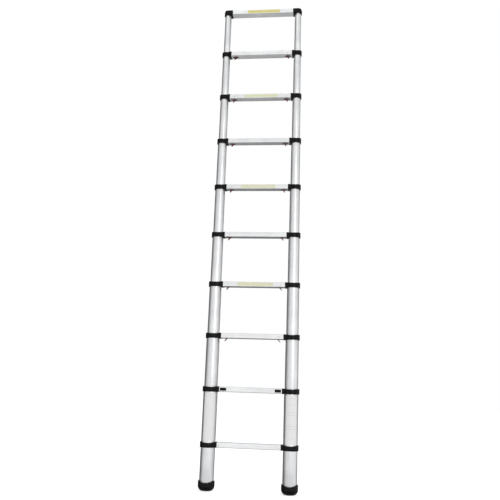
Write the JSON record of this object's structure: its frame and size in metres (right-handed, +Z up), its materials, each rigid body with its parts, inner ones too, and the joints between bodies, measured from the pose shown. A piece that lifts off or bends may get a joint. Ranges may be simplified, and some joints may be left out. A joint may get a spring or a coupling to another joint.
{
  "type": "telescoping ladder",
  "caption": "Extended telescoping ladder: nested round aluminium tubes, black collars at each hollow rung, rubber feet, folding red triggers, slide release buttons.",
  "frame": {"origin": "on the ground midway between the two feet, on the stiles' plane", "axes": "+Z up along the stiles, +X to the right along the rungs as seen from the front, -Y the front, where the release buttons are"},
  "size_m": [0.5286, 0.0886, 2.859],
  "materials": {
    "stile_tube": "satin anodised",
    "rung_extrusion": "satin anodised, fine grooves on the tread",
    "foot_rubber": "matt moulded",
    "collar_plastic": "satin moulded",
    "trigger_plastic": "satin moulded",
    "pin_steel": "zinc plated",
    "label_film": "printed film, no text"
  },
  "bodies": {
    "base": {"foot_left": "foot_rubber", "foot_right": "foot_rubber", "stile_base_left": "stile_tube", "stile_base_right": "stile_tube", "rung_01": "rung_extrusion", "rung_02": "rung_extrusion"},
    "section_03": {"stile_03_left": "stile_tube", "stile_03_right": "stile_tube", "rung_03": "rung_extrusion"},
    "section_04": {"stile_04_left": "stile_tube", "stile_04_right": "stile_tube", "rung_04": "rung_extrusion"},
    "section_05": {"stile_05_left": "stile_tube", "stile_05_right": "stile_tube", "rung_05": "rung_extrusion"},
    "section_06": {"stile_06_left": "stile_tube", "stile_06_right": "stile_tube", "rung_06": "rung_extrusion"},
    "section_07": {"stile_07_left": "stile_tube", "stile_07_right": "stile_tube", "rung_07": "rung_extrusion"},
    "section_08": {"stile_08_left": "stile_tube", "stile_08_right": "stile_tube", "rung_08": "rung_extrusion"},
    "section_09": {"stile_09_left": "stile_tube", "stile_09_right": "stile_tube", "rung_09": "rung_extrusion"},
    "section_10": {"stile_10_left": "stile_tube", "stile_10_right": "stile_tube", "rung_10": "rung_extrusion"},
    "trigger_03_left": {"trigger_03_left": "trigger_plastic"},
    "lock_pin_03_left": {"lock_pin_03_left": "pin_steel"},
    "trigger_03_right": {"trigger_03_right": "trigger_plastic"},
    "lock_pin_03_right": {"lock_pin_03_right": "pin_steel"},
    "trigger_04_left": {"trigger_04_left": "trigger_plastic"},
    "lock_pin_04_left": {"lock_pin_04_left": "pin_steel"},
    "trigger_04_right": {"trigger_04_right": "trigger_plastic"},
    "lock_pin_04_right": {"lock_pin_04_right": "pin_steel"},
    "trigger_05_left": {"trigger_05_left": "trigger_plastic"},
    "lock_pin_05_left": {"lock_pin_05_left": "pin_steel"},
    "trigger_05_right": {"trigger_05_right": "trigger_plastic"},
    "lock_pin_05_right": {"lock_pin_05_right": "pin_steel"},
    "trigger_06_left": {"trigger_06_left": "trigger_plastic"},
    "lock_pin_06_left": {"lock_pin_06_left": "pin_steel"},
    "trigger_06_right": {"trigger_06_right": "trigger_plastic"},
    "lock_pin_06_right": {"lock_pin_06_right": "pin_steel"},
    "trigger_07_left": {"trigger_07_left": "trigger_plastic"},
    "lock_pin_07_left": {"lock_pin_07_left": "pin_steel"},
    "trigger_07_right": {"trigger_07_right": "trigger_plastic"},
    "lock_pin_07_right": {"lock_pin_07_right": "pin_steel"},
    "trigger_08_left": {"trigger_08_left": "trigger_plastic"},
    "lock_pin_08_left": {"lock_pin_08_left": "pin_steel"},
    "trigger_08_right": {"trigger_08_right": "trigger_plastic"},
    "lock_pin_08_right": {"lock_pin_08_right": "pin_steel"},
    "trigger_09_left": {"trigger_09_left": "trigger_plastic"},
    "lock_pin_09_left": {"lock_pin_09_left": "pin_steel"},
    "trigger_09_right": {"trigger_09_right": "trigger_plastic"},
    "lock_pin_09_right": {"lock_pin_09_right": "pin_steel"},
    "release_button_left": {"release_button_left": "collar_plastic"},
    "release_button_right": {"release_button_right": "collar_plastic"}
  },
  "joints": [
    {"name": "slide_03", "type": "slide", "parent": "base", "child": "section_03", "axis": [0, 0, 1], "range_m": [-0.2595, 0]},
    {"name": "slide_04", "type": "slide", "parent": "section_03", "child": "section_04", "axis": [0, 0, 1], "range_m": [-0.2595, 0]},
    {"name": "slide_05", "type": "slide", "parent": "section_04", "child": "section_05", "axis": [0, 0, 1], "range_m": [-0.2595, 0]},
    {"name": "slide_06", "type": "slide", "parent": "section_05", "child": "section_06", "axis": [0, 0, 1], "range_m": [-0.2595, 0]},
    {"name": "slide_07", "type": "slide", "parent": "section_06", "child": "section_07", "axis": [0, 0, 1], "range_m": [-0.2595, 0]},
    {"name": "slide_08", "type": "slide", "parent": "section_07", "child": "section_08", "axis": [0, 0, 1], "range_m": [-0.2595, 0]},
    {"name": "slide_09", "type": "slide", "parent": "section_08", "child": "section_09", "axis": [0, 0, 1], "range_m": [-0.2595, 0]},
    {"name": "slide_10", "type": "slide", "parent": "section_09", "child": "section_10", "axis": [0, 0, 1], "range_m": [-0.2595, 0]},
    {"name": "trigger_03_left_fold", "type": "hinge", "parent": "section_03", "child": "trigger_03_left", "pos_m": [-0.1334, 0, 0.806], "axis": [0, -1, 0], "range_deg": [-45, 0]},
    {"name": "lock_pin_03_left_draw", "type": "slide", "parent": "section_03", "child": "lock_pin_03_left", "axis": [-1, 0, 0], "range_m": [-0.006, 0]},
    {"name": "trigger_03_right_fold", "type": "hinge", "parent": "section_03", "child": "trigger_03_right", "pos_m": [0.1334, 0, 0.806], "axis": [0, 1, 0], "range_deg": [-45, 0]},
    {"name": "lock_pin_03_right_draw", "type": "slide", "parent": "section_03", "child": "lock_pin_03_right", "axis": [1, 0, 0], "range_m": [-0.006, 0]},
    {"name": "trigger_04_left_fold", "type": "hinge", "parent": "section_04", "child": "trigger_04_left", "pos_m": [-0.1358, 0, 1.096], "axis": [0, -1, 0], "range_deg": [-45, 0]},
    {"name": "lock_pin_04_left_draw", "type": "slide", "parent": "section_04", "child": "lock_pin_04_left", "axis": [-1, 0, 0], "range_m": [-0.006, 0]},
    {"name": "trigger_04_right_fold", "type": "hinge", "parent": "section_04", "child": "trigger_04_right", "pos_m": [0.1358, 0, 1.096], "axis": [0, 1, 0], "range_deg": [-45, 0]},
    {"name": "lock_pin_04_right_draw", "type": "slide", "parent": "section_04", "child": "lock_pin_04_right", "axis": [1, 0, 0], "range_m": [-0.006, 0]},
    {"name": "trigger_05_left_fold", "type": "hinge", "parent": "section_05", "child": "trigger_05_left", "pos_m": [-0.1382, 0, 1.386], "axis": [0, -1, 0], "range_deg": [-45, 0]},
    {"name": "lock_pin_05_left_draw", "type": "slide", "parent": "section_05", "child": "lock_pin_05_left", "axis": [-1, 0, 0], "range_m": [-0.006, 0]},
    {"name": "trigger_05_right_fold", "type": "hinge", "parent": "section_05", "child": "trigger_05_right", "pos_m": [0.1382, 0, 1.386], "axis": [0, 1, 0], "range_deg": [-45, 0]},
    {"name": "lock_pin_05_right_draw", "type": "slide", "parent": "section_05", "child": "lock_pin_05_right", "axis": [1, 0, 0], "range_m": [-0.006, 0]},
    {"name": "trigger_06_left_fold", "type": "hinge", "parent": "section_06", "child": "trigger_06_left", "pos_m": [-0.1406, 0, 1.676], "axis": [0, -1, 0], "range_deg": [-45, 0]},
    {"name": "lock_pin_06_left_draw", "type": "slide", "parent": "section_06", "child": "lock_pin_06_left", "axis": [-1, 0, 0], "range_m": [-0.006, 0]},
    {"name": "trigger_06_right_fold", "type": "hinge", "parent": "section_06", "child": "trigger_06_right", "pos_m": [0.1406, 0, 1.676], "axis": [0, 1, 0], "range_deg": [-45, 0]},
    {"name": "lock_pin_06_right_draw", "type": "slide", "parent": "section_06", "child": "lock_pin_06_right", "axis": [1, 0, 0], "range_m": [-0.006, 0]},
    {"name": "trigger_07_left_fold", "type": "hinge", "parent": "section_07", "child": "trigger_07_left", "pos_m": [-0.143, 0, 1.966], "axis": [0, -1, 0], "range_deg": [-45, 0]},
    {"name": "lock_pin_07_left_draw", "type": "slide", "parent": "section_07", "child": "lock_pin_07_left", "axis": [-1, 0, 0], "range_m": [-0.006, 0]},
    {"name": "trigger_07_right_fold", "type": "hinge", "parent": "section_07", "child": "trigger_07_right", "pos_m": [0.143, 0, 1.966], "axis": [0, 1, 0], "range_deg": [-45, 0]},
    {"name": "lock_pin_07_right_draw", "type": "slide", "parent": "section_07", "child": "lock_pin_07_right", "axis": [1, 0, 0], "range_m": [-0.006, 0]},
    {"name": "trigger_08_left_fold", "type": "hinge", "parent": "section_08", "child": "trigger_08_left", "pos_m": [-0.1454, 0, 2.256], "axis": [0, -1, 0], "range_deg": [-45, 0]},
    {"name": "lock_pin_08_left_draw", "type": "slide", "parent": "section_08", "child": "lock_pin_08_left", "axis": [-1, 0, 0], "range_m": [-0.006, 0]},
    {"name": "trigger_08_right_fold", "type": "hinge", "parent": "section_08", "child": "trigger_08_right", "pos_m": [0.1454, 0, 2.256], "axis": [0, 1, 0], "range_deg": [-45, 0]},
    {"name": "lock_pin_08_right_draw", "type": "slide", "parent": "section_08", "child": "lock_pin_08_right", "axis": [1, 0, 0], "range_m": [-0.006, 0]},
    {"name": "trigger_09_left_fold", "type": "hinge", "parent": "section_09", "child": "trigger_09_left", "pos_m": [-0.1478, 0, 2.546], "axis": [0, -1, 0], "range_deg": [-45, 0]},
    {"name": "lock_pin_09_left_draw", "type": "slide", "parent": "section_09", "child": "lock_pin_09_left", "axis": [-1, 0, 0], "range_m": [-0.006, 0]},
    {"name": "trigger_09_right_fold", "type": "hinge", "parent": "section_09", "child": "trigger_09_right", "pos_m": [0.1478, 0, 2.546], "axis": [0, 1, 0], "range_deg": [-45, 0]},
    {"name": "lock_pin_09_right_draw", "type": "slide", "parent": "section_09", "child": "lock_pin_09_right", "axis": [1, 0, 0], "range_m": [-0.006, 0]},
    {"name": "release_button_left_slide", "type": "slide", "parent": "base", "child": "release_button_left", "axis": [-1, 0, 0], "range_m": [-0.008, 0], "stiffness_N_per_m": 500},
    {"name": "release_button_right_slide", "type": "slide", "parent": "base", "child": "release_button_right", "axis": [1, 0, 0], "range_m": [-0.008, 0], "stiffness_N_per_m": 500}
  ],
  "couplings": [
    {"joint": "trigger_03_left_fold", "follows": "slide_03", "rad_per_m": 3.02},
    {"joint": "lock_pin_03_left_draw", "follows": "slide_03", "ratio": 0.0231},
    {"joint": "trigger_03_right_fold", "follows": "slide_03", "rad_per_m": 3.02},
    {"joint": "lock_pin_03_right_draw", "follows": "slide_03", "ratio": 0.0231},
    {"joint": "trigger_04_left_fold", "follows": "slide_04", "rad_per_m": 3.02},
    {"joint": "lock_pin_04_left_draw", "follows": "slide_04", "ratio": 0.0231},
    {"joint": "trigger_04_right_fold", "follows": "slide_04", "rad_per_m": 3.02},
    {"joint": "lock_pin_04_right_draw", "follows": "slide_04", "ratio": 0.0231},
    {"joint": "trigger_05_left_fold", "follows": "slide_05", "rad_per_m": 3.02},
    {"joint": "lock_pin_05_left_draw", "follows": "slide_05", "ratio": 0.0231},
    {"joint": "trigger_05_right_fold", "follows": "slide_05", "rad_per_m": 3.02},
    {"joint": "lock_pin_05_right_draw", "follows": "slide_05", "ratio": 0.0231},
    {"joint": "trigger_06_left_fold", "follows": "slide_06", "rad_per_m": 3.02},
    {"joint": "lock_pin_06_left_draw", "follows": "slide_06", "ratio": 0.0231},
    {"joint": "trigger_06_right_fold", "follows": "slide_06", "rad_per_m": 3.02},
    {"joint": "lock_pin_06_right_draw", "follows": "slide_06", "ratio": 0.0231},
    {"joint": "trigger_07_left_fold", "follows": "slide_07", "rad_per_m": 3.02},
    {"joint": "lock_pin_07_left_draw", "follows": "slide_07", "ratio": 0.0231},
    {"joint": "trigger_07_right_fold", "follows": "slide_07", "rad_per_m": 3.02},
    {"joint": "lock_pin_07_right_draw", "follows": "slide_07", "ratio": 0.0231},
    {"joint": "trigger_08_left_fold", "follows": "slide_08", "rad_per_m": 3.02},
    {"joint": "lock_pin_08_left_draw", "follows": "slide_08", "ratio": 0.0231},
    {"joint": "trigger_08_right_fold", "follows": "slide_08", "rad_per_m": 3.02},
    {"joint": "lock_pin_08_right_draw", "follows": "slide_08", "ratio": 0.0231},
    {"joint": "trigger_09_left_fold", "follows": "slide_09", "rad_per_m": 3.02},
    {"joint": "lock_pin_09_left_draw", "follows": "slide_09", "ratio": 0.0231},
    {"joint": "trigger_09_right_fold", "follows": "slide_09", "rad_per_m": 3.02},
    {"joint": "lock_pin_09_right_draw", "follows": "slide_09", "ratio": 0.0231}
  ]
}
